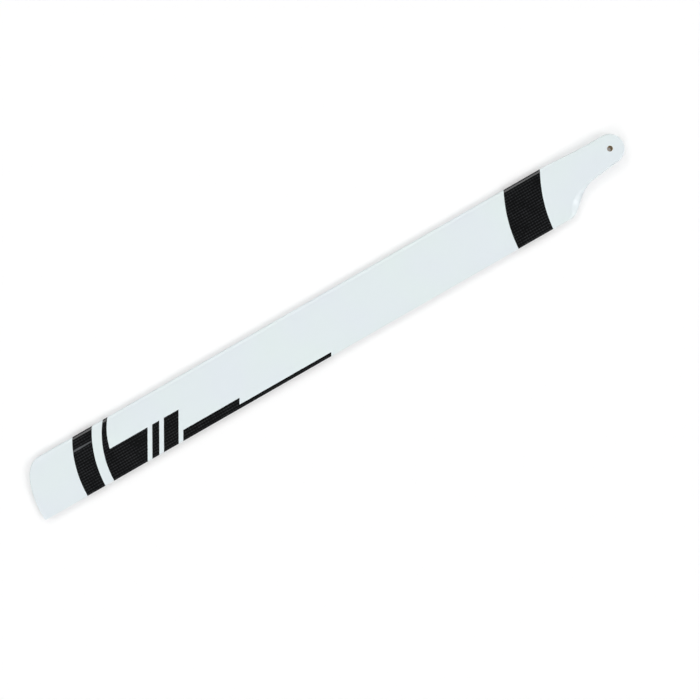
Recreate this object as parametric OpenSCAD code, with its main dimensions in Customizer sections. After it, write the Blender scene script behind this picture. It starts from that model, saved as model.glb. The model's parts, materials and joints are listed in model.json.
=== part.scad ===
// Main rotor blade of a large radio-controlled helicopter.
// One moulded carbon-fibre piece: a thick flat root pad that the rotor head's grip clamps and bolts,
// fairing over a swooping trailing edge into a straight symmetric aerofoil with a rounded tip.
// A brass bush is bonded into the root, and the grip's bolt passes through it.
// The origin is on the bolt's axis at mid thickness. +X points to the tip, +Z along the bolt,
// and the leading edge lies on the -Y side.

/* [Blade] */
// Reach from the bolt's axis to the tip
blade_reach = 700; // [620:1:800]
// Chord of the straight part, from leading edge to trailing edge
chord = 61; // [54:0.5:72]
// Distance from the bolt's axis forward to the leading edge
leading_offset = 18; // [17:0.5:22]
// Greatest thickness of the aerofoil
aerofoil_t = 7.2; // [5:0.1:10]
// Thickness of the trailing edge
trailing_t = 0.7; // [0.4:0.1:1.2]

/* [Root] */
// Thickness of the root pad between the grip's jaws
root_t = 12; // [10:0.5:15]
// Radius of the rounded root end about the bolt's axis
root_r = 15.8; // [13:0.1:16.5]
// Width of the rounding along the pad's edges
pad_edge = 1.8; // [1:0.1:3]
// Length of the flat pad from the bolt's axis towards the tip
pad_len = 20; // [17:1:24]
// Distance from the bolt's axis to where the root has become the aerofoil
fairing_end = 82; // [76:1:100]
// Distance from the bolt's axis to where the leading edge runs straight
nose_end = 76; // [70:1:95]
// Angle at which the pad's trailing side flares, in degrees
pad_flare = 6.5; // [3:0.5:9]

/* [Swoop of the trailing edge] */
// Distance from the bolt's axis to the corner where the edge turns outwards
swoop_start = 39; // [36:0.5:44]
// Distance from the bolt's axis to the corner where it meets the trailing edge
swoop_end = 65; // [60:0.5:70]
// Radius of the hollow bend at the start of the swoop
swoop_hollow_r = 36; // [20:1:40]
// Radius of the full bend at the end of the swoop
swoop_corner_r = 14; // [8:1:18]
// Width of the sloped edge at its widest place along the swoop
swoop_edge = 8; // [4:0.5:9]
// Distance from the bolt's axis to that place
swoop_edge_x = 59; // [52:0.5:62]
// Length over which the sloped edge widens up to there
swoop_edge_rise = 24; // [14:1:28]
// Length over which it narrows again into the trailing edge
swoop_edge_fall = 18; // [12:1:22]

/* [Tip] */
// Length over which the leading edge rounds into the tip
tip_len = 27.5; // [20:0.5:40]
// Squareness of the tip's curve, where 2 is an ellipse
tip_power = 2.2; // [1.8:0.1:3]
// Radius of the corner between the tip and the trailing edge
tip_corner_r = 2; // [1:0.5:5]

/* [Bolt] */
// Bore of the bush, for the grip's bolt
bolt_d = 5; // [4:0.5:6]
// Wall of the bush
bush_wall = 0.5; // [0.4:0.1:1.5]
// Chamfer at each mouth of the bush
bush_chamfer = 0.2; // [0.1:0.05:0.3]

/* [Bare carbon bands] */
// Distance from the bolt's axis to the root band, along the trailing edge
root_band_x = 91.5; // [90:0.5:140]
// Width of the root band along the trailing edge
root_band_w = 41.5; // [20:0.5:60]
// Bow radius of the root band's edges
root_band_bow = 142; // [110:1:250]
// White margin between the tip and the tip band, along the trailing edge
tip_margin = 50.9; // [40:0.5:80]
// Width of the tip band along the trailing edge
tip_band_w = 21.4; // [10:0.5:40]
// Bow radius of the tip band's edges
tip_band_bow = 133; // [90:1:200]
// How much nearer to the root the bands end at the leading edge
band_lean = 17.7; // [5:0.5:25]
// How much wider the bands are at the leading edge
band_flare = 2; // [0:0.5:6]
// How far the carbon runs on under the edge of the paint
paint_lap = 0.05; // [0.02:0.01:0.2]

/* [Bare carbon bars and stripe] */
// White gap between the tip band and the finned block
block_gap = 10.4; // [5:0.5:20]
// Length of the finned block along the trailing edge
block_w = 40.2; // [25:0.5:60]
// Reach of the block and the bars from the trailing edge
bar_h = 31; // [20:0.5:35]
// How much nearer to the root the fin ends at the leading edge
fin_lean = 21.3; // [15:0.5:26]
// Bow radius of the fin's edge towards the tip
fin_bow = 109; // [80:1:150]
// Bow radius of the fin's edge towards the root
fin_hollow_bow = 83.5; // [60:1:120]
// Width of the fin where it leaves the block
fin_base_w = 7.3; // [5:0.2:12]
// Width of the fin at the leading edge
fin_end_w = 5.6; // [2:0.2:7]
// White gap between the bars
bar_gap = 5.5; // [3:0.2:10]
// Length of the narrow bar
narrow_bar_w = 8.4; // [4:0.2:14]
// Length of the wide bar
wide_bar_w = 17.6; // [10:0.2:30]
// Length of the stripe's thick stretch
thick_stripe_len = 67.4; // [40:0.5:90]
// Height of the stripe's thick stretch
thick_stripe_h = 10.1; // [6:0.1:14]
// Length of the stripe's thin stretch
thin_stripe_len = 109.8; // [60:0.5:150]
// Height of the stripe's thin stretch
thin_stripe_h = 3.9; // [2:0.1:5]
// Lean of the slanted ends from the chord's direction, in degrees
bar_lean = 30; // [0:0.5:40]

/* [Hidden] */

leading_y = -leading_offset;
trailing_y = chord - leading_offset;
bush_od = bolt_d + 2 * bush_wall;
cut_over = 1;

// Steps of the loft: points across the chord, and sections along the root, the fairing and the tip
chord_steps = 24;
root_end_steps = 12;
pad_steps = 3;
fairing_steps = 26;
tip_steps = 18;

function mix(a, b, t) = a + (b - a) * t;
function clamp01(t) = min(1, max(0, t));
function ease(a, b, x) = let (t = clamp01((x - a) / (b - a))) t * t * (3 - 2 * t);

// Plan outline. The trailing side leaves the root's round as a tangent line, turns out along
// the swoop and meets the trailing edge, with an arc in each of the two corners.
function flare_y(x) = root_r / cos(pad_flare) + x * tan(pad_flare);
swoop_start_y = flare_y(swoop_start);
swoop_angle = atan2(trailing_y - swoop_start_y, swoop_end - swoop_start);
function swoop_y(x) = swoop_start_y + (x - swoop_start) * tan(swoop_angle);

// Each arc's centre is where the two lines it touches meet, once moved aside by its radius
hollow_lift = swoop_hollow_r * (1 / cos(pad_flare) - 1 / cos(swoop_angle));
hollow_x = swoop_start + hollow_lift / (tan(swoop_angle) - tan(pad_flare));
hollow_y = flare_y(hollow_x) + swoop_hollow_r / cos(pad_flare);
corner_y = trailing_y - swoop_corner_r;
corner_x = swoop_end - swoop_corner_r * (1 - 1 / cos(swoop_angle)) / tan(swoop_angle);

function arc_drop(r, d) = sqrt(max(0, r * r - d * d));
function trailing_side(x) =
    x < -root_r * sin(pad_flare) ? arc_drop(root_r, x)
    : x < hollow_x + swoop_hollow_r * sin(pad_flare) ? flare_y(x)
    : x < hollow_x + swoop_hollow_r * sin(swoop_angle) ? hollow_y - arc_drop(swoop_hollow_r, x - hollow_x)
    : x < corner_x - swoop_corner_r * sin(swoop_angle) ? swoop_y(x)
    : x < corner_x ? corner_y + arc_drop(swoop_corner_r, x - corner_x)
    : x < tip_corner_x ? trailing_y
    : tip_centre_y + arc_drop(tip_corner_r, x - tip_corner_x);

// The leading side eases out from the root's round to the aerofoil's nose, then rounds off at the tip
function root_leading_side(x) =
    x < 0 ? -arc_drop(root_r, x) : mix(-root_r, leading_y, ease(pad_len, nose_end, x));
tip_corner_x = blade_reach - tip_corner_r;
tip_centre_x = blade_reach - tip_len;
tip_centre_y = trailing_y - tip_corner_r;
tip_span_y = chord - tip_corner_r;
function tip_curve(x) = pow(max(0, 1 - pow((x - tip_centre_x) / tip_len, tip_power)), 1 / tip_power);
function leading_side(x) =
    x < tip_centre_x ? root_leading_side(x) : tip_centre_y - tip_span_y * tip_curve(x);

// Half thickness of the aerofoil, a classic symmetric section with a blunt trailing edge
function aerofoil_half(y) =
    let (s = clamp01((y - leading_y) / chord))
    5 * aerofoil_t * (0.2969 * sqrt(s) - 0.126 * s - 0.3516 * s ^ 2 + 0.2843 * s ^ 3 - 0.1015 * s ^ 4)
    + trailing_t / 2 * s;

// Rolled edge: full height once the distance from the outline passes the roll's width.
// The power shapes it, from 1 for a plain slope to 2 for a round and more for a fuller one.
roll_power = 2.4;
slope_power = 1.15;
tip_roll_share = 0.6;
function roll(d, w, power) = d >= w ? 1 : pow(1 - pow(1 - max(0, d) / w, power), 1 / power);

// Widths of the rolled edges along the blade
function pad_share(x) = 1 - ease(pad_len, fairing_end, x);
function leading_roll(x) =
    x < tip_centre_x ? pad_edge * pad_share(x) : tip_roll_share * aerofoil_half(leading_side(x));

// The trailing side's roll thins to the trailing edge, and turns into a plain slope along the swoop
function slope_share(x) =
    ease(swoop_edge_x - swoop_edge_rise, swoop_edge_x, x)
    - ease(swoop_edge_x, swoop_edge_x + swoop_edge_fall, x);
function trailing_roll(x) =
    mix(mix(pad_edge, trailing_t / 2, ease(swoop_start, fairing_end, x)), swoop_edge, slope_share(x));
function trailing_power(x) = mix(roll_power, slope_power, slope_share(x));

// Distance from the outline, square to it
slope_step = 0.05;
function lean_of(x) = (trailing_side(x + slope_step) - trailing_side(x - slope_step)) / (2 * slope_step);
function trailing_gap(x, y) = (trailing_side(x) - y) / sqrt(1 + lean_of(x) ^ 2);
function tip_gap(x, y) =
    let (u = (x - tip_centre_x) / tip_len,
         v = max(0, tip_centre_y - y) / tip_span_y,
         reach = pow(pow(u, tip_power) + pow(v, tip_power), 1 / tip_power))
    reach == 0 ? tip_len
    : (1 - reach) / norm([
        pow(u / reach, tip_power - 1) / tip_len,
        pow(v / reach, tip_power - 1) / tip_span_y]);

function half_height(x, y) =
    x < 0 ? root_t / 2 * roll(root_r - norm([x, y]), pad_edge, roll_power)
    : let (share = pad_share(x), body = mix(aerofoil_half(y), root_t / 2, share))
      x < tip_centre_x
        ? body * roll(y - leading_side(x), leading_roll(x), roll_power)
            * roll(trailing_gap(x, y), trailing_roll(x), trailing_power(x))
        : body * roll(tip_gap(x, y), leading_roll(x), roll_power)
            * roll(trailing_side(x) - y, trailing_t / 2, roll_power);

// Loft: one ring of points for each section, over the top from leading to trailing edge and back below
ring_n = 2 * chord_steps;
function across(j) = (1 - cos(180 * j / chord_steps)) / 2;
function section(x) =
    let (front = leading_side(x), back = trailing_side(x))
    [for (k = [0 : ring_n - 1])
        let (j = k <= chord_steps ? k : ring_n - k,
             y = mix(front, back, across(j)),
             z = j == 0 || j == chord_steps ? 0 : half_height(x, y))
        [x, y, k <= chord_steps ? z : -z]];

stations = concat(
    [for (i = [1 : root_end_steps]) -root_r * cos(90 * i / root_end_steps)],
    [for (i = [1 : pad_steps]) pad_len * i / pad_steps],
    [for (i = [1 : fairing_steps]) mix(pad_len, fairing_end, i / fairing_steps)],
    [for (i = [0 : tip_steps - 1]) mix(tip_centre_x, blade_reach, sin(90 * i / tip_steps))]);

module blade_form() {
    rings = len(stations);
    root_pole = [[-root_r, 0, 0]];
    tip_pole = [[blade_reach, tip_centre_y, 0]];
    points = concat([for (x = stations) each section(x)], root_pole, tip_pole);
    root_i = rings * ring_n;
    tip_i = root_i + 1;
    last = (rings - 1) * ring_n;
    sides = [for (i = [0 : rings - 2], k = [0 : ring_n - 1])
        let (a = i * ring_n + k, b = i * ring_n + (k + 1) % ring_n)
        each [[a, b + ring_n, a + ring_n], [a, b, b + ring_n]]];
    root_cap = [for (k = [0 : ring_n - 1]) [root_i, (k + 1) % ring_n, k]];
    tip_cap = [for (k = [0 : ring_n - 1]) [tip_i, last + k, last + (k + 1) % ring_n]];
    polyhedron(points, concat(sides, root_cap, tip_cap));
}

// Places of the bare carbon fields along the trailing edge, counted back from the tip
tip_band_x = blade_reach - tip_margin - tip_band_w;
block_x = tip_band_x - block_gap - block_w;
narrow_bar_x = block_x - bar_gap - narrow_bar_w;
wide_bar_x = narrow_bar_x - bar_gap - wide_bar_w;
thick_stripe_x = wide_bar_x - bar_gap - thick_stripe_len;
thin_stripe_x = thick_stripe_x - thin_stripe_len;

// Centre of a bowed edge that runs from one point to another and swells towards the tip
function bow_centre(leading_end, trailing_end, bow) =
    let (run = trailing_end - leading_end,
         inward = [-run[1], run[0]] / norm(run))
    (leading_end + trailing_end) / 2 + inward * sqrt(bow ^ 2 - (norm(run) / 2) ^ 2);

// Disc on the root side of such an edge
module bowed_side(leading_end, trailing_end, bow) {
    translate(bow_centre(leading_end, trailing_end, bow)) circle(r = bow, $fn = 180);
}

module bowed_band(x, w, bow) {
    nose_x = x - band_lean - band_flare / 2;
    nose_w = w + band_flare;
    difference() {
        bowed_side([nose_x + nose_w, leading_y], [x + w, trailing_y], bow);
        bowed_side([nose_x, leading_y], [x, trailing_y], bow);
    }
}

// Bar along the trailing edge with slanted ends
module slanted_bar(x, w, h) {
    foot_y = trailing_y + cut_over;
    foot = cut_over * tan(bar_lean);
    head = h * tan(bar_lean);
    polygon([
        [x + foot, foot_y],
        [x - head, trailing_y - h],
        [x + w - head, trailing_y - h],
        [x + w + foot, foot_y]]);
}

// Block with a fin that sweeps forward from it round the leading edge
module finned_block() {
    block_end = block_x + block_w;
    block_y = trailing_y - bar_h;
    fin_end = [block_end - fin_lean, leading_y];
    block_corner = [block_end, trailing_y];
    centre = bow_centre(fin_end, block_corner, fin_bow);
    fin_foot_x = centre[0] + arc_drop(fin_bow, block_y - centre[1]) - fin_base_w;
    intersection() {
        bowed_side(fin_end, block_corner, fin_bow);
        slanted_bar(block_x, 2 * block_w, bar_h);
    }
    intersection() {
        difference() {
            bowed_side(fin_end, block_corner, fin_bow);
            bowed_side(fin_end - [fin_end_w, 0], [fin_foot_x, block_y], fin_hollow_bow);
        }
        translate([block_x, leading_y - cut_over])
            square([2 * block_w, block_y - leading_y + 2 * cut_over]);
    }
}

// Bare carbon fields, the same on both faces, with their outline moved out by the lap
module carbon_fields(lap) {
    translate([0, 0, -root_t]) linear_extrude(2 * root_t) offset(delta = lap) {
        bowed_band(root_band_x, root_band_w, root_band_bow);
        bowed_band(tip_band_x, tip_band_w, tip_band_bow);
        finned_block();
        slanted_bar(narrow_bar_x, narrow_bar_w, bar_h);
        slanted_bar(wide_bar_x, wide_bar_w, bar_h);
        slanted_bar(thick_stripe_x, thick_stripe_len, thick_stripe_h);
        slanted_bar(thin_stripe_x, thin_stripe_len + cut_over, thin_stripe_h);
    }
}

module drilled_blade() {
    difference() {
        blade_form();
        cylinder(d = bush_od, h = root_t + 2 * cut_over, center = true, $fn = 96);
    }
}

// Moulded blade, painted white with the carbon left bare in the fields
module blade() {
    color("white") difference() {
        drilled_blade();
        carbon_fields(0);
    }
    color([0.13, 0.14, 0.15]) intersection() {
        drilled_blade();
        carbon_fields(paint_lap);
    }
}

// Brass bush, bonded in flush with both faces of the pad
module root_bush() {
    half = root_t / 2;
    bore_r = bolt_d / 2;
    color([0.78, 0.62, 0.3]) rotate_extrude($fn = 96) polygon([
        [bore_r, half - bush_chamfer], [bore_r + bush_chamfer, half], [bush_od / 2, half],
        [bush_od / 2, -half], [bore_r + bush_chamfer, -half], [bore_r, -half + bush_chamfer]]);
}

blade();
root_bush();
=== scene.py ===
# A main rotor blade of a large radio-controlled helicopter, lying on a pale floor and seen from above.
# The frame's origin is on the root's bolt axis: +X runs to the tip, +Z up along the bolt,
# and the leading edge lies on the -Y side.

import json
import math

import bpy
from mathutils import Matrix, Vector


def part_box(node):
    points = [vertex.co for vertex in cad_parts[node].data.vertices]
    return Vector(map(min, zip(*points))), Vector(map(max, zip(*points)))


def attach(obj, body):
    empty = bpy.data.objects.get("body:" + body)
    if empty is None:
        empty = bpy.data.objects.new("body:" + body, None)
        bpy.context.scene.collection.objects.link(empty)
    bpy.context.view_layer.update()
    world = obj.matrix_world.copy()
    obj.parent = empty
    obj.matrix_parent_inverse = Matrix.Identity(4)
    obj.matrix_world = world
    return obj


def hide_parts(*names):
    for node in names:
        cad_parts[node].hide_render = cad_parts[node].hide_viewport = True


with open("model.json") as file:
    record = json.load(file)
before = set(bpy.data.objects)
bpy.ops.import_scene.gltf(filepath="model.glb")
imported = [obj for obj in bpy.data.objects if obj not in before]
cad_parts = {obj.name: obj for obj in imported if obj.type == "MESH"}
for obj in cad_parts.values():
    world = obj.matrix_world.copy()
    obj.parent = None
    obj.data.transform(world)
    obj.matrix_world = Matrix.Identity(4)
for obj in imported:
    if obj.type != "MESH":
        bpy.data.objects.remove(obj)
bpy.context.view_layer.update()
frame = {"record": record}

# Blade
# One carbon-fibre piece, moulded in two halves and cured in one go. A thick flat root pad, which the rotor
# head's grip clamps, fairs into a straight symmetric aerofoil with a rounded tip. White paint is masked off
# so that the weave shows in bands, bars and a stripe, and a clear gloss coat covers paint and carbon alike.

blade_low, blade_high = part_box("blade")
root_r = -blade_low.x
blade_reach = blade_high.x
leading_y = blade_low.y
trailing_y = blade_high.y
chord = trailing_y - leading_y
root_half = blade_high.z
aerofoil_t = 0.0072
trailing_t = 0.0007
pad_edge = 0.0018
pad_len = 0.020
fairing_end = 0.082
nose_end = 0.076
pad_flare = math.radians(6.5)

# The trailing side leaves the root's round as a tangent line and turns out along the swoop,
# with an arc in each of its two corners
swoop_start = 0.039
swoop_end = 0.065
swoop_hollow_r = 0.036
swoop_corner_r = 0.014
swoop_edge = 0.008
swoop_edge_x = 0.059
swoop_edge_rise = 0.024
swoop_edge_fall = 0.018
pad_line_y = root_r / math.cos(pad_flare)
swoop_start_y = pad_line_y + swoop_start * math.tan(pad_flare)
swoop_angle = math.atan2(trailing_y - swoop_start_y, swoop_end - swoop_start)
hollow_lift = swoop_hollow_r * (1 / math.cos(pad_flare) - 1 / math.cos(swoop_angle))
hollow_x = swoop_start + hollow_lift / (math.tan(swoop_angle) - math.tan(pad_flare))
hollow_y = pad_line_y + hollow_x * math.tan(pad_flare) + swoop_hollow_r / math.cos(pad_flare)
corner_y = trailing_y - swoop_corner_r
corner_x = swoop_end - swoop_corner_r * (1 - 1 / math.cos(swoop_angle)) / math.tan(swoop_angle)

tip_len = 0.0275
tip_power = 2.2
tip_corner_r = 0.002
tip_roll_share = 0.6
tip_centre_x = blade_reach - tip_len
tip_centre_y = trailing_y - tip_corner_r
tip_corner_x = blade_reach - tip_corner_r
tip_span_y = chord - tip_corner_r
roll_power = 2.4
slope_power = 1.15
probe = 0.00005


def mix(a, b, t):
    return a + (b - a) * t


def ease(a, b, x):
    t = min(1, max(0, (x - a) / (b - a)))
    return t * t * (3 - 2 * t)


def arc_drop(r, d):
    return math.sqrt(max(0, r * r - d * d))


def trailing_side(x):
    if x < -root_r * math.sin(pad_flare):
        return arc_drop(root_r, x)
    if x < hollow_x + swoop_hollow_r * math.sin(pad_flare):
        return pad_line_y + x * math.tan(pad_flare)
    if x < hollow_x + swoop_hollow_r * math.sin(swoop_angle):
        return hollow_y - arc_drop(swoop_hollow_r, x - hollow_x)
    if x < corner_x - swoop_corner_r * math.sin(swoop_angle):
        return swoop_start_y + (x - swoop_start) * math.tan(swoop_angle)
    if x < corner_x:
        return corner_y + arc_drop(swoop_corner_r, x - corner_x)
    if x < tip_corner_x:
        return trailing_y
    return tip_centre_y + arc_drop(tip_corner_r, x - tip_corner_x)


def leading_side(x):
    if x < 0:
        return -arc_drop(root_r, x)
    if x < tip_centre_x:
        return mix(-root_r, leading_y, ease(pad_len, nose_end, x))
    inset = max(0, 1 - ((x - tip_centre_x) / tip_len) ** tip_power)
    return tip_centre_y - tip_span_y * inset ** (1 / tip_power)


def aerofoil_half(y):
    # Half the thickness of a symmetric section that is thickest at 30 percent of its chord
    s = min(1, max(0, (y - leading_y) / chord))
    curve = 0.2969 * math.sqrt(s) - 0.126 * s - 0.3516 * s ** 2 + 0.2843 * s ** 3 - 0.1015 * s ** 4
    return 5 * aerofoil_t * curve + trailing_t / 2 * s


def roll(distance, width, power=roll_power):
    # Share of the full height at a distance inside a rounded edge
    if distance >= width:
        return 1
    return (1 - (1 - max(0, distance) / width) ** power) ** (1 / power)


def slope_share(x):
    # How far the rounded edge has opened into the swoop's slope
    widens = ease(swoop_edge_x - swoop_edge_rise, swoop_edge_x, x)
    return widens - ease(swoop_edge_x, swoop_edge_x + swoop_edge_fall, x)


def tip_gap(x, y):
    # Distance inside the tip's curved outline
    u = (x - tip_centre_x) / tip_len
    v = max(0, tip_centre_y - y) / tip_span_y
    reach = (u ** tip_power + v ** tip_power) ** (1 / tip_power)
    if reach == 0:
        return tip_len
    rate = math.hypot((u / reach) ** (tip_power - 1) / tip_len, (v / reach) ** (tip_power - 1) / tip_span_y)
    return (1 - reach) / rate


def half_height(x, y):
    if x < 0:
        return root_half * roll(root_r - math.hypot(x, y), pad_edge)
    pad_share = 1 - ease(pad_len, fairing_end, x)
    body = mix(aerofoil_half(y), root_half, pad_share)
    if x < tip_centre_x:
        lean = (trailing_side(x + probe) - trailing_side(x - probe)) / (2 * probe)
        gap = (trailing_side(x) - y) / math.hypot(1, lean)
        slope = slope_share(x)
        thinning = mix(pad_edge, trailing_t / 2, ease(swoop_start, fairing_end, x))
        back_roll = roll(gap, mix(thinning, swoop_edge, slope), mix(roll_power, slope_power, slope))
        return body * roll(y - leading_side(x), pad_edge * pad_share) * back_roll
    tip_edge = tip_roll_share * aerofoil_half(leading_side(x))
    return body * roll(tip_gap(x, y), tip_edge) * roll(trailing_side(x) - y, trailing_t / 2)


# A flat sheet of panels is laid round the blade: its length is the sections,
# and its width runs over the top and back below
chord_steps = 44
root_end_steps = 26
pad_steps = 8
fairing_steps = 72
straight_steps = 58
tip_steps = 44
ring = 2 * chord_steps
weld = 1e-7
stations = [-root_r * math.cos(math.pi / 2 * i / root_end_steps) for i in range(root_end_steps + 1)]
stretches = [
    (0, pad_len, pad_steps),
    (pad_len, fairing_end, fairing_steps),
    (fairing_end, tip_centre_x, straight_steps),
]
for start, end, steps in stretches:
    stations += [mix(start, end, i / steps) for i in range(1, steps + 1)]
tip_turns = [math.pi / 2 * i / tip_steps for i in range(1, tip_steps + 1)]
stations += [mix(tip_centre_x, blade_reach, math.sin(turn)) for turn in tip_turns]

bpy.ops.object.select_all(action="DESELECT")
bpy.ops.mesh.primitive_grid_add(x_subdivisions=len(stations) - 1, y_subdivisions=ring, size=1)
blade = bpy.context.object
blade.name = "rotor_blade"
for vertex in blade.data.vertices:
    x = stations[round((vertex.co.x + 0.5) * (len(stations) - 1))]
    step = round((vertex.co.y + 0.5) * ring)
    over = step <= chord_steps
    across = step if over else ring - step
    y = mix(leading_side(x), trailing_side(x), (1 - math.cos(math.pi * across / chord_steps)) / 2)
    z = 0 if across in (0, chord_steps) else half_height(x, y)
    vertex.co = (x, y, z if over else -z)
bpy.ops.object.mode_set(mode="EDIT")
bpy.ops.mesh.select_all(action="SELECT")
bpy.ops.mesh.remove_doubles(threshold=weld)
bpy.ops.mesh.normals_make_consistent(inside=False)
bpy.ops.object.mode_set(mode="OBJECT")

# The seat for the bush is drilled through the pad
bush_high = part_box("root_bush")[1]
bush_r = bush_high.x
round_sides = 96
bpy.ops.object.select_all(action="DESELECT")
bpy.ops.mesh.primitive_cylinder_add(vertices=round_sides, radius=bush_r, depth=4 * root_half)
drill = bpy.context.object
bpy.ops.object.select_all(action="DESELECT")
blade.select_set(True)
bpy.context.view_layer.objects.active = blade
seat = blade.modifiers.new("bush_seat", "BOOLEAN")
seat.operation = "DIFFERENCE"
seat.solver = "EXACT"
seat.object = drill
bpy.ops.object.modifier_apply(modifier=seat.name)
bpy.data.objects.remove(drill)
bpy.ops.object.shade_smooth_by_angle(angle=math.radians(45))

# The fields of bare carbon, the same on both faces: two bowed bands, slanted bars along the trailing edge,
# and a block with a fin that reaches the nose
band_lean = 0.0177
band_flare = 0.002
root_band_x = 0.0915
root_band_w = 0.0415
root_band_bow = 0.142
tip_band_w = 0.0214
tip_band_bow = 0.133
tip_white_w = 0.0509
tip_band_x = blade_reach - tip_white_w - tip_band_w
block_gap = 0.0104
block_w = 0.0402
block_x = tip_band_x - block_gap - block_w
bar_h = 0.031
bar_gap = 0.0055
bar_lean = math.radians(30)
narrow_bar_w = 0.0084
narrow_bar_x = block_x - bar_gap - narrow_bar_w
wide_bar_w = 0.0176
wide_bar_x = narrow_bar_x - bar_gap - wide_bar_w
thick_stripe_len = 0.0674
thick_stripe_h = 0.0101
thick_stripe_x = wide_bar_x - bar_gap - thick_stripe_len
thin_stripe_len = 0.1098
thin_stripe_h = 0.0039
thin_stripe_x = thick_stripe_x - thin_stripe_len
fin_lean = 0.0213
fin_bow = 0.109
fin_hollow_bow = 0.0835
fin_base_w = 0.0073
fin_end_w = 0.0056
overlap = 0.0005
field_edge = 0.00006


def start_finish(name):
    finish = bpy.data.materials.new(name)
    finish.use_nodes = True
    tree = finish.node_tree
    return finish, tree.nodes, tree.links, tree.nodes["Principled BSDF"]


paint, nodes, links, shader = start_finish("paint_over_carbon")
place = nodes.new("ShaderNodeTexCoord")
split = nodes.new("ShaderNodeSeparateXYZ")
links.new(place.outputs["Object"], split.inputs[0])
span_at = split.outputs["X"]
chord_at = split.outputs["Y"]


def math_node(operation, *values):
    node = nodes.new("ShaderNodeMath")
    node.operation = operation
    for socket, value in zip(node.inputs, values):
        if isinstance(value, (int, float)):
            socket.default_value = value
        else:
            links.new(value, socket)
    return node.outputs[0]


def joined(operation, values):
    result = values[0]
    for value in values[1:]:
        result = math_node(operation, result, value)
    return result


def graded(value, low, high, start=0.0, end=1.0, smooth=False):
    # Turns a stretch of a value, from start to end, into one from low to high
    node = nodes.new("ShaderNodeMapRange")
    if smooth:
        node.interpolation_type = "SMOOTHSTEP"
    node.inputs["From Min"].default_value = start
    node.inputs["From Max"].default_value = end
    node.inputs["To Min"].default_value = low
    node.inputs["To Max"].default_value = high
    links.new(value, node.inputs["Value"])
    return node.outputs["Result"]


def noise(scale, detail):
    node = nodes.new("ShaderNodeTexNoise")
    node.inputs["Scale"].default_value = scale
    node.inputs["Detail"].default_value = detail
    links.new(place.outputs["Object"], node.inputs["Vector"])
    return node.outputs["Fac"]


def two_tone(value, low_at, low_colour, high_at, high_colour):
    node = nodes.new("ShaderNodeValToRGB")
    low, high = node.color_ramp.elements
    low.position = low_at
    low.color = low_colour
    high.position = high_at
    high.color = high_colour
    links.new(value, node.inputs["Fac"])
    return node.outputs["Color"]


def blended(share, under, over):
    # Each of the two colours is a plain one or another node's output
    node = nodes.new("ShaderNodeMix")
    node.data_type = "RGBA"
    links.new(share, node.inputs["Factor"])
    for side, colour in (("A", under), ("B", over)):
        if isinstance(colour, tuple):
            node.inputs[side].default_value = colour
        else:
            links.new(colour, node.inputs[side])
    return node.outputs["Result"]


def relief(height, strength, distance):
    bump = nodes.new("ShaderNodeBump")
    bump.inputs["Strength"].default_value = strength
    bump.inputs["Distance"].default_value = distance
    links.new(height, bump.inputs["Height"])
    links.new(bump.outputs["Normal"], shader.inputs["Normal"])


def bow_centre(leading_end, trailing_end, bow):
    run = trailing_end - leading_end
    inward = Vector((-run.y, run.x)).normalized()
    return (leading_end + trailing_end) / 2 + inward * math.sqrt(bow ** 2 - (run.length / 2) ** 2)


def root_side_of(leading_end, trailing_end, bow):
    # Depth inside the disc on the root side of a bowed edge
    centre = bow_centre(Vector(leading_end), Vector(trailing_end), bow)
    away_x = math_node("SUBTRACT", span_at, centre.x)
    away_y = math_node("SUBTRACT", chord_at, centre.y)
    square = math_node("ADD", math_node("MULTIPLY", away_x, away_x), math_node("MULTIPLY", away_y, away_y))
    return math_node("SUBTRACT", bow, math_node("SQRT", square))


def bowed_band(x, w, bow):
    nose_x = x - band_lean - band_flare / 2
    inner = root_side_of((nose_x, leading_y), (x, trailing_y), bow)
    outer = root_side_of((nose_x + w + band_flare, leading_y), (x + w, trailing_y), bow)
    return math_node("MINIMUM", outer, math_node("MULTIPLY", inner, -1))


from_trailing = math_node("SUBTRACT", trailing_y, chord_at)
slanted_at = math_node("ADD", span_at, math_node("MULTIPLY", from_trailing, math.tan(bar_lean)))


def slanted_bar(x, w, h):
    start = math_node("SUBTRACT", slanted_at, x)
    end = math_node("SUBTRACT", x + w, slanted_at)
    return joined("MINIMUM", [start, end, math_node("SUBTRACT", h, from_trailing)])


def finned_block():
    block_end = block_x + block_w
    fin_end = (block_end - fin_lean, leading_y)
    corner = (block_end, trailing_y)
    centre = bow_centre(Vector(fin_end), Vector(corner), fin_bow)
    fin_foot_y = trailing_y - bar_h
    fin_foot_x = centre.x + arc_drop(fin_bow, fin_foot_y - centre.y) - fin_base_w
    tip_side = root_side_of(fin_end, corner, fin_bow)
    hollow = root_side_of((fin_end[0] - fin_end_w, leading_y), (fin_foot_x, fin_foot_y), fin_hollow_bow)
    block = slanted_bar(block_x, 2 * block_w, bar_h)
    ahead = math_node("SUBTRACT", from_trailing, bar_h - overlap)
    past_bars = math_node("SUBTRACT", span_at, block_x)
    fin = joined("MINIMUM", [math_node("MULTIPLY", hollow, -1), ahead, past_bars])
    return math_node("MINIMUM", tip_side, math_node("MAXIMUM", block, fin))


fields = joined("MAXIMUM", [
    bowed_band(root_band_x, root_band_w, root_band_bow),
    bowed_band(tip_band_x, tip_band_w, tip_band_bow),
    finned_block(),
    slanted_bar(narrow_bar_x, narrow_bar_w, bar_h),
    slanted_bar(wide_bar_x, wide_bar_w, bar_h),
    slanted_bar(thick_stripe_x, thick_stripe_len, thick_stripe_h),
    slanted_bar(thin_stripe_x, thin_stripe_len + overlap, thin_stripe_h),
])
bare = graded(fields, 0.0, 1.0, start=-field_edge, end=field_edge, smooth=True)

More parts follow.
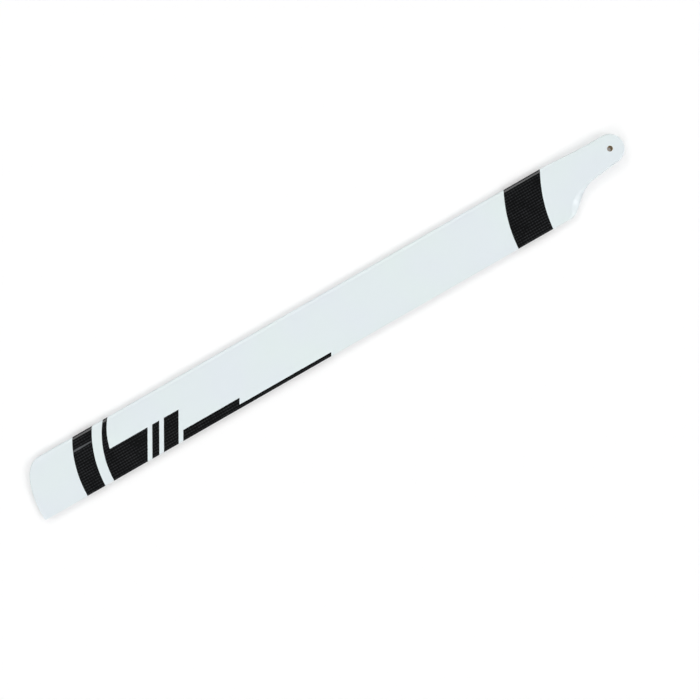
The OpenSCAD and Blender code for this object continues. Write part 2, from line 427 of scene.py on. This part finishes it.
# Plain weave of flat tows along and across the blade, with the fibres' sheen painted into the colour: each
# crossing gets a painted highlight on its low crown between dark gaps, and the tows that run along the span
# are painted brighter, so that they read as rows
tow_pitch = 0.00286
cross_tow_shine = 0.8
column_sharpness = 1.5
row_sharpness = 3
row_share = 0.5
# The lit colour is painted sheen on the tows, over the dark of the bare cloth
tow_dark = (0.0008, 0.0010, 0.0012, 1)
tow_lit = (0.022, 0.0235, 0.025, 1)
along = math_node("SINE", math_node("MULTIPLY", span_at, math.pi / tow_pitch))
across_tow = math_node("SINE", math_node("MULTIPLY", chord_at, math.pi / tow_pitch))
weave = math_node("MULTIPLY", along, across_tow)
crown = math_node("SQRT", math_node("ABSOLUTE", weave))
spanwise = math_node("GREATER_THAN", weave, 0)
tow_shine = math_node("ADD", cross_tow_shine, math_node("MULTIPLY", spanwise, 1 - cross_tow_shine))
tow_column = math_node("POWER", math_node("ABSOLUTE", along), column_sharpness)
flat_crown = math_node("MULTIPLY", tow_column, math_node("SQRT", math_node("ABSOLUTE", across_tow)))
crown_shine = math_node("MULTIPLY", math_node("MULTIPLY", flat_crown, tow_shine), 1 - row_share)
tow_row = math_node("POWER", math_node("ABSOLUTE", across_tow), row_sharpness)
row_shine = math_node("MULTIPLY", tow_row, row_share)

# Single tows differ a little, and so do larger patches of the cloth
unevenness = math_node("ADD", noise(scale=480, detail=1), noise(scale=60, detail=1))
cloth = math_node("MULTIPLY", math_node("ADD", crown_shine, row_shine), unevenness)
# The carbon's base colour carries the weave's own pattern and its painted sheen, with painted highlights on
# the lit tows
carbon_and_sheen_colour = two_tone(cloth, 0.15, tow_dark, 1.0, tow_lit)

# The edge of a doubled ply shows in the tip band as a grey line along the span,
# wider and paler towards the tip
ply_back = 0.0138
ply_half_w = 0.0009
ply_widening = 0.0007
ply_core = 0.2
ply_dark = (0.065, 0.069, 0.073, 1)
ply_pale = (0.105, 0.111, 0.117, 1)
ply_start_x = tip_band_x - band_lean
near_tip = graded(span_at, 0.0, 1.0, start=ply_start_x, end=ply_start_x + tip_band_w)
off_ply = math_node("ABSOLUTE", math_node("SUBTRACT", chord_at, leading_y + ply_back))
ply_half = math_node("ADD", ply_half_w, math_node("MULTIPLY", near_tip, ply_widening))
on_ply = graded(math_node("DIVIDE", off_ply, ply_half), 0.0, 1.0, start=1.0, end=ply_core, smooth=True)
past_fin = math_node("GREATER_THAN", span_at, ply_start_x - band_flare)
ply_grey = blended(near_tip, ply_dark, ply_pale)
bare_colour = blended(math_node("MULTIPLY", on_ply, past_fin), carbon_and_sheen_colour, ply_grey)

# White paint with a faint drift between a cool and a warmer white
cool_white = (0.772, 0.833, 0.868, 1)
warm_white = (0.772, 0.853, 0.853, 1)
white_colour = two_tone(noise(scale=14, detail=1), 0.35, cool_white, 0.65, warm_white)
links.new(blended(bare, white_colour, bare_colour), shader.inputs["Base Color"])

# The bare carbon is rougher than the paint and carries the full clear coat, and the paint a thinner one
paint_roughness = 0.42
cloth_roughness = 0.5
paint_coat = 0.75
cloth_coat = 1.0
links.new(graded(bare, paint_roughness, cloth_roughness), shader.inputs["Roughness"])
links.new(graded(bare, paint_coat, cloth_coat), shader.inputs["Coat Weight"])
shader.inputs["Coat Roughness"].default_value = 0.04
shader.inputs["Coat IOR"].default_value = 1.5
shader.inputs["IOR"].default_value = 1.45
shader.inputs["Specular IOR Level"].default_value = 0.0

# The tows print through the coat a little, and the paint has a fine orange peel
peel_share = 0.12
tow_relief = math_node("MULTIPLY", crown, bare)
peel_relief = math_node("MULTIPLY", noise(scale=420, detail=2), peel_share)
relief(math_node("ADD", tow_relief, peel_relief), strength=0.25, distance=0.00012)
blade.data.materials.append(paint)

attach(blade, "root")
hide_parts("blade")

# Root bush
# A turned brass sleeve, bonded into the pad flush with both faces, that takes the grip's bolt.
# Its mouths are lightly chamfered, and the bore is dulled by handling.

bore_r = next(m for m in frame["record"]["mounts"] if m["name"] == "bolt_bore")["dims"]["r_mm"] / 1000
bush_chamfer = 0.0002
bush_half = bush_high.z
brass_dull = (0.32, 0.22, 0.095, 1)
brass_bright = (0.64, 0.46, 0.2, 1)
bright_roughness = 0.45
dull_roughness = 0.28

bpy.ops.object.select_all(action="DESELECT")
bpy.ops.mesh.primitive_circle_add(vertices=round_sides, radius=bush_r, location=(0, 0, bush_half))
bush = bpy.context.object
bush.name = "bolt_bush"
bpy.ops.object.transform_apply(location=True, rotation=True, scale=True)
bpy.ops.object.mode_set(mode="EDIT")
bpy.ops.mesh.select_all(action="SELECT")


def turn_to(radius, height, from_radius, from_height):
    # Draws the bush's open ring out to the next corner of its profile
    bpy.ops.mesh.extrude_edges_move(TRANSFORM_OT_translate={"value": (0, 0, height - from_height)})
    scale = radius / from_radius
    bpy.ops.transform.resize(value=(scale, scale, 1), center_override=(0, 0, 0))


profile = [
    (bush_r, bush_half), (bush_r, -bush_half), (bore_r + bush_chamfer, -bush_half),
    (bore_r, bush_chamfer - bush_half), (bore_r, bush_half - bush_chamfer),
    (bore_r + bush_chamfer, bush_half), (bush_r, bush_half),
]
for (from_radius, from_height), (radius, height) in zip(profile, profile[1:]):
    turn_to(radius, height, from_radius, from_height)
bpy.ops.mesh.select_all(action="SELECT")
bpy.ops.mesh.remove_doubles(threshold=weld)
bpy.ops.mesh.normals_make_consistent(inside=False)
bpy.ops.object.mode_set(mode="OBJECT")
bpy.ops.object.shade_smooth_by_angle(angle=math.radians(30))

brass, nodes, links, shader = start_finish("dulled_brass")
place = nodes.new("ShaderNodeTexCoord")
tarnish = noise(scale=900, detail=3)
links.new(two_tone(tarnish, 0.3, brass_dull, 0.7, brass_bright), shader.inputs["Base Color"])
links.new(graded(tarnish, dull_roughness, bright_roughness), shader.inputs["Roughness"])
tool_marks = nodes.new("ShaderNodeTexWave")
tool_marks.wave_type = "BANDS"
tool_marks.bands_direction = "Z"
tool_marks.inputs["Scale"].default_value = 900
tool_marks.inputs["Distortion"].default_value = 1.5
links.new(place.outputs["Object"], tool_marks.inputs["Vector"])
relief(tool_marks.outputs["Fac"], strength=0.3, distance=0.00002)
shader.inputs["Metallic"].default_value = 1.0
bush.data.materials.append(brass)

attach(bush, "root")
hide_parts("root_bush")

# Floor
# A seamless white sheet that the blade lies on. It takes the soft shadow, and is lifted a little towards
# full white where it is seen or mirrored, without adding light to the blade.

floor_size = 60
floor_gap = 0.0002
floor_lift = 0.24
sheet_white = (0.99, 0.99, 0.99, 1)
floor_at = Vector((blade_reach / 2, 0, blade_low.z - floor_gap))
bpy.ops.object.select_all(action="DESELECT")
bpy.ops.mesh.primitive_plane_add(size=floor_size, location=floor_at)
floor = bpy.context.object
floor.name = "floor_sheet"
sheet, nodes, links, shader = start_finish("white_sheet")
shader.inputs["Base Color"].default_value = sheet_white
shader.inputs["Roughness"].default_value = 0.9
shader.inputs["Specular IOR Level"].default_value = 0.0


def seen_or_mirrored():
    # One for a ray from the camera, off a gloss or through a glass, and nought for the light itself
    ray = nodes.new("ShaderNodeLightPath")
    kinds = ("Is Camera Ray", "Is Glossy Ray", "Is Transmission Ray")
    return joined("MAXIMUM", [ray.outputs[kind] for kind in kinds])


glow = nodes.new("ShaderNodeEmission")
lifted = nodes.new("ShaderNodeMixShader")
links.new(math_node("MULTIPLY", seen_or_mirrored(), floor_lift), lifted.inputs["Fac"])
links.new(shader.outputs["BSDF"], lifted.inputs[1])
links.new(glow.outputs["Emission"], lifted.inputs[2])
links.new(lifted.outputs["Shader"], nodes["Material Output"].inputs["Surface"])
floor.data.materials.append(sheet)

# Light
# Soft lamps all round the blade and none overhead, so that the gloss of the carbon stays dark from above.
# One ahead of the leading edge draws the bright line along the nose, and one behind the trailing edge
# lights the swoop's slope.

lamp_distance = 2
lamp_aim = Vector((blade_reach / 2, 0, 0))


def soft_lamp(name, toward, elevation, spread, level):
    # The level is the share of full white that the lamp gives to a level white surface
    rise = math.radians(elevation)
    aim = math.radians(toward)
    back = Vector((math.cos(aim) * math.cos(rise), math.sin(aim) * math.cos(rise), math.sin(rise)))
    bpy.ops.object.light_add(type="SUN", location=lamp_aim + back * lamp_distance)
    lamp = bpy.context.object
    lamp.name = name
    lamp.rotation_euler = back.to_track_quat("Z", "Y").to_euler()
    lamp.data.angle = math.radians(spread)
    lamp.data.energy = level * math.pi / math.sin(rise)


soft_lamp("nose_lamp", toward=-89, elevation=42, spread=28, level=0.112)
soft_lamp("swoop_lamp", toward=118, elevation=45, spread=26, level=0.131)
soft_lamp("tip_lamp", toward=40, elevation=47, spread=42, level=0.223)
soft_lamp("root_lamp", toward=150, elevation=47, spread=42, level=0.162)
soft_lamp("root_nose_lamp", toward=-145, elevation=47, spread=42, level=0.129)
soft_lamp("tip_nose_lamp", toward=-40, elevation=47, spread=42, level=0.159)

# A low white backdrop stands round the floor for what is seen and mirrored, and the room above it is dim
backdrop_top = math.sin(math.radians(12))
room_level = 0.1
world = bpy.data.worlds.new("studio")
world.use_nodes = True
nodes = world.node_tree.nodes
links = world.node_tree.links
background = nodes["Background"]
background.inputs["Color"].default_value = (1, 1, 1, 1)
looking = nodes.new("ShaderNodeTexCoord")
direction = nodes.new("ShaderNodeSeparateXYZ")
links.new(looking.outputs["Object"], direction.inputs[0])
is_low = math_node("LESS_THAN", direction.outputs["Z"], backdrop_top)
backdrop = math_node("MULTIPLY", seen_or_mirrored(), is_low)
links.new(graded(backdrop, room_level, 1.0), background.inputs["Strength"])
bpy.context.scene.world = world

# Camera
# It looks straight down. The photograph's frame is square, with the bolt hole near its upper right corner,
# and the span runs to its lower left.

photo_px = 700
hole_px = Vector((610.0, 148.6))
span_turn = math.radians(29.83)
metres_per_px = 0.0010391
camera_height = 1.7
sensor = 36

nearer = (camera_height - root_half) / camera_height
offset = (Vector((photo_px / 2, photo_px / 2)) - hole_px) * metres_per_px * nearer
camera_x = -math.cos(span_turn) * offset.x + math.sin(span_turn) * offset.y
camera_y = math.sin(span_turn) * offset.x + math.cos(span_turn) * offset.y
bpy.ops.object.camera_add(location=(camera_x, camera_y, camera_height))
camera = bpy.context.object
camera.rotation_euler = (0, 0, math.pi - span_turn)
camera.data.sensor_width = sensor
camera.data.lens = sensor * camera_height / (photo_px * metres_per_px)
bpy.context.scene.camera = camera
bpy.context.scene.view_settings.view_transform = "Standard"
